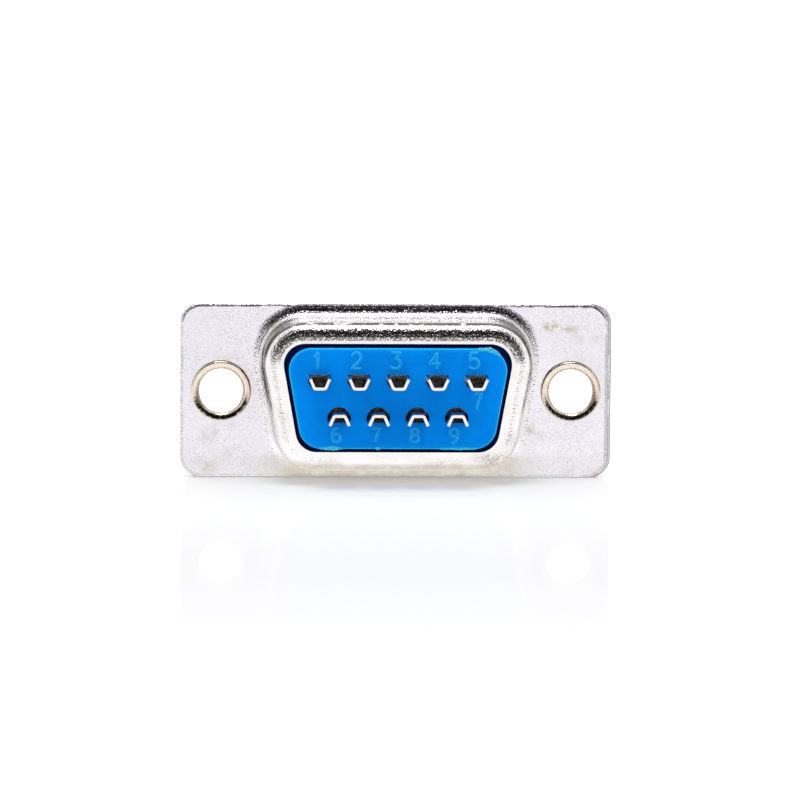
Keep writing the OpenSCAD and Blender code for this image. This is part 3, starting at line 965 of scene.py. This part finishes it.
class StageOperator(bpy.types.Operator):
    """Sets the camera, the floor, the lamp and the surround"""

    bl_idname = "connector.stage"
    bl_label = "Set the stage"

    def execute(self, context):
        sizes = context.scene.stage_sizes
        self.camera(context.scene, sizes)
        self.floor(sizes)
        self.lamp(sizes)
        self.surround(context.scene, sizes)
        view = context.scene.view_settings
        view.view_transform = "Standard"
        return {"FINISHED"}

    @staticmethod
    def camera(scene, sizes):
        data = bpy.data.cameras.new("Camera")
        data.sensor_width = 36.0
        data.lens = 36.0 * sizes.distance / sizes.width
        data.clip_start, data.clip_end = 0.01, 20.0
        made = bpy.data.objects.new("Camera", data)
        scene.collection.objects.link(made)
        up, turn = sizes.elevation, sizes.turn
        back = Vector((-math.sin(turn) * math.cos(up), -math.cos(turn) * math.cos(up), math.sin(up)))
        facing = (-back).to_track_quat("-Z", "Y")
        aim = Vector((0.0, FLANGE_FACE_Y * MM, 0.0)) + facing @ Vector((sizes.aim_x, sizes.aim_z, 0.0))
        made.location = aim + back * sizes.distance
        made.rotation_mode = "QUATERNION"
        made.rotation_quaternion = facing @ Quaternion((0.0, 0.0, 1.0), sizes.roll)
        scene.camera = made

    @staticmethod
    def floor(sizes):
        reach, z = 6.0, FLOOR_Z * MM
        mesh = bpy.data.meshes.new("floor")
        corners = [(-reach, -reach, z), (reach, -reach, z), (reach, reach, z), (-reach, reach, z)]
        mesh.from_pydata(corners, [], [(0, 1, 2, 3)])
        made = link(mesh)
        material, paint = new_material("floor_gloss")
        mesh.materials.append(material)
        y = paint.place()[2]
        path = paint.add("ShaderNodeLightPath").socket.node.outputs
        seen = Number(paint, path["Is Camera Ray"]).most(Number(paint, path["Is Transmission Ray"]))
        behind = y.rise(0.0, 4.0)
        away = (-y - 1.0).rise(-40.0, 100.0).most(behind)
        polish = (1.0 - away) * sizes.mirror
        close = 1.0 - (-y - 1.0).rise(0.0, 45.0)
        glow = (away * sizes.glow + behind * 0.35 + close * 0.2 + 0.02) * seen
        matte = paint.add("ShaderNodeBsdfDiffuse", None, {"Color": (*sizes.floor, 1.0)})
        tint = paint.mix(glow, (0.0, 0.0, 0.0), (1.0, 1.0, 1.0))
        lift = paint.add("ShaderNodeEmission", None, {"Color": tint, "Strength": 1.0})
        lit = paint.add("ShaderNodeAddShader", None, {0: matte, 1: lift})
        shine = paint.add("ShaderNodeBsdfGlossy", None, {"Color": WHITE, "Roughness": 0.02})
        both = paint.add("ShaderNodeMixShader", None, {0: polish, 1: lit, 2: shine})
        even = paint.add("ShaderNodeEmission", None, {"Color": WHITE, "Strength": sizes.bounce})
        mirrored = Number(paint, path["Is Glossy Ray"])
        done = paint.add("ShaderNodeMixShader", None, {0: mirrored, 1: both, 2: even})
        paint.add("ShaderNodeOutputMaterial", None, {"Surface": done})

    @staticmethod
    def lamp(sizes):
        data = bpy.data.lights.new("Overhead", "SUN")
        data.energy = sizes.lamp
        data.angle = math.radians(22)
        made = bpy.data.objects.new("Overhead", data)
        bpy.context.scene.collection.objects.link(made)
        made.rotation_mode = "QUATERNION"
        made.rotation_quaternion = Vector((0.04, 0.10, -1.0)).to_track_quat("-Z", "Y")

    @staticmethod
    def surround(scene, sizes):
        """White for what is seen or mirrored, with a dark room in front above the horizon."""
        world = bpy.data.worlds.new("Surround")
        world.use_nodes = True
        scene.world = world
        paint = Paint(world.node_tree)
        path = paint.add("ShaderNodeLightPath").socket.node.outputs
        way = paint.add("ShaderNodeTexCoord", out="Generated")
        parts = paint.add("ShaderNodeSeparateXYZ", None, {0: way}).socket.node.outputs
        x, y, z = (Number(paint, parts[axis]) for axis in range(3))
        level_way = (x * x + y * y).root().most(0.001)
        front = (-y / level_way).rise(0.25, 0.75)
        room = z.rise(0.0, 0.03) * (1.0 - z.rise(0.915, 0.95)) * front
        wall = (y / level_way).rise(0.88, 0.94) * (1.0 - z.rise(0.22, 0.30))
        mirrored = (sizes.sky + wall * (sizes.wall - sizes.sky)) * (1.0 - room * 0.975)
        camera = Number(paint, path["Is Camera Ray"])
        glossy = Number(paint, path["Is Glossy Ray"])
        clear = Number(paint, path["Is Transmission Ray"])
        seen = camera.most(clear)
        strength = seen + (1.0 - seen) * (glossy * mirrored + (1.0 - glossy) * sizes.around)
        light = paint.add("ShaderNodeBackground", None, {"Color": WHITE, "Strength": strength})
        paint.add("ShaderNodeOutputWorld", None, {"Surface": light})


class ConnectorPanel(bpy.types.Panel):
    bl_idname = "CONNECTOR_PT_steps"
    bl_label = "D-sub connector"
    bl_space_type = "VIEW_3D"
    bl_region_type = "UI"
    bl_category = "Connector"

    def draw(self, context):
        for step in STEPS:
            self.layout.operator(step.bl_idname)


STEPS = (
    ShellsOperator,
    InsulatorsOperator,
    ContactsOperator,
    EyeletsOperator,
    NumbersOperator,
    FlashOperator,
    StageOperator,
)
GROUPS = {
    "shell_finish": ShellFinish,
    "insulator_finish": InsulatorFinish,
    "contact_finish": ContactFinish,
    "eyelet_finish": EyeletFinish,
    "number_sizes": NumberSizes,
    "flash_sizes": FlashSizes,
    "stage_sizes": StageSizes,
}


def register():
    for item in (*GROUPS.values(), *STEPS, ConnectorPanel):
        bpy.utils.register_class(item)
    for name, group in GROUPS.items():
        setattr(bpy.types.Scene, name, PointerProperty(type=group))


def unregister():
    for name in GROUPS:
        delattr(bpy.types.Scene, name)
    for item in reversed((*GROUPS.values(), *STEPS, ConnectorPanel)):
        bpy.utils.unregister_class(item)


def main():
    register()
    bpy.ops.connector.shells()
    bpy.ops.connector.insulators()
    bpy.ops.connector.contacts()
    bpy.ops.connector.eyelets()
    bpy.ops.connector.numbers()
    bpy.ops.connector.flash()
    bpy.ops.connector.stage()


if __name__ == "__main__":
    main()
